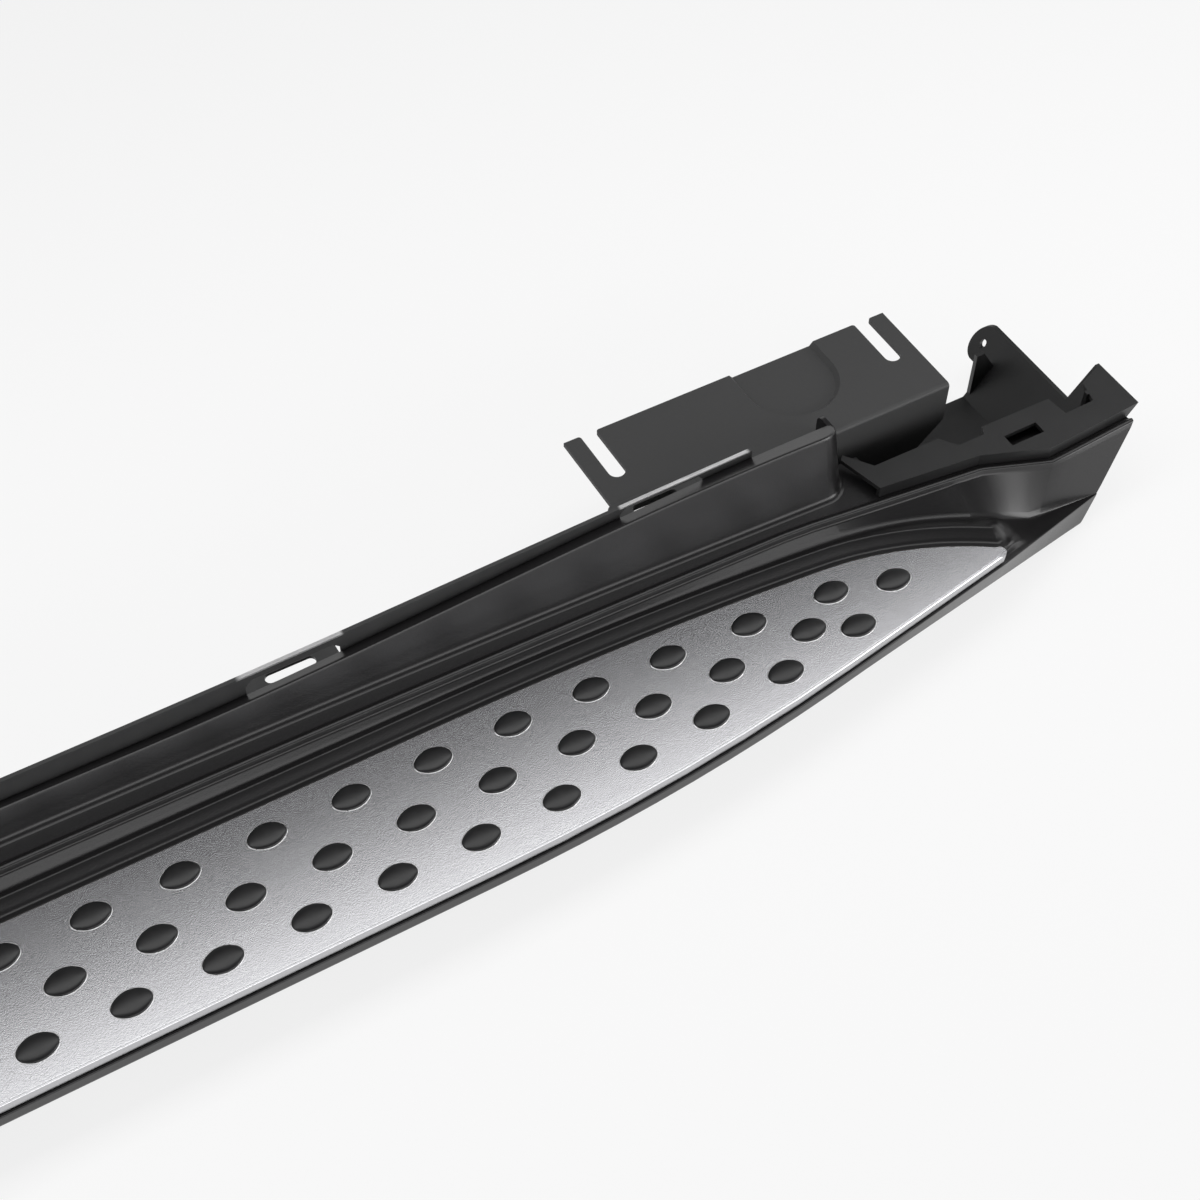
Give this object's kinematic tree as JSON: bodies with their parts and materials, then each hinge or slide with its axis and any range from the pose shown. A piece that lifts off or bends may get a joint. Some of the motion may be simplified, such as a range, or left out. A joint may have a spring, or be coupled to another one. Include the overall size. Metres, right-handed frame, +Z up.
{
  "type": "vehicle side step",
  "caption": "Long side step for a vehicle: moulded cover, aluminium tread plate with oval rubber studs, folded steel tray and slotted brackets behind it.",
  "frame": {"origin": "middle of the bounding box's base: under the middle of the board, on the surface that it lies on", "axes": "+X along the board, +Y from the outer edge towards the vehicle, +Z up from the lying surface to the tread"},
  "size_m": [1.7644, 0.231, 0.098],
  "materials": {
    "cover_plastic": "fine grained, black, uncoated",
    "brushed_aluminium": "brushed along the board, clear anodised",
    "stud_rubber": "moulded, satin black",
    "coated_steel": "satin black coating, bare where it was cut afterwards",
    "bracket_steel": "matt black powder coat",
    "cap_plastic": "smooth, satin black",
    "zinc_steel": "bright zinc plated",
    "rivet_aluminium": "plain"
  },
  "bodies": {
    "root": {"step_cover": "cover_plastic", "tread_plate": "brushed_aluminium", "tread_studs": "stud_rubber", "support_tray": "coated_steel", "tread_beam": "coated_steel", "beam_plugs": "cap_plastic", "beam_rivets": "rivet_aluminium", "tray_screws": "zinc_steel", "cap_screws": "zinc_steel", "bracket_right": "bracket_steel", "bracket_left": "bracket_steel", "end_cap_right": "cap_plastic", "end_cap_left": "cap_plastic", "bracket_bolts": "zinc_steel", "bracket_washers": "zinc_steel", "bracket_nuts": "zinc_steel"}
  },
  "joints": []
}
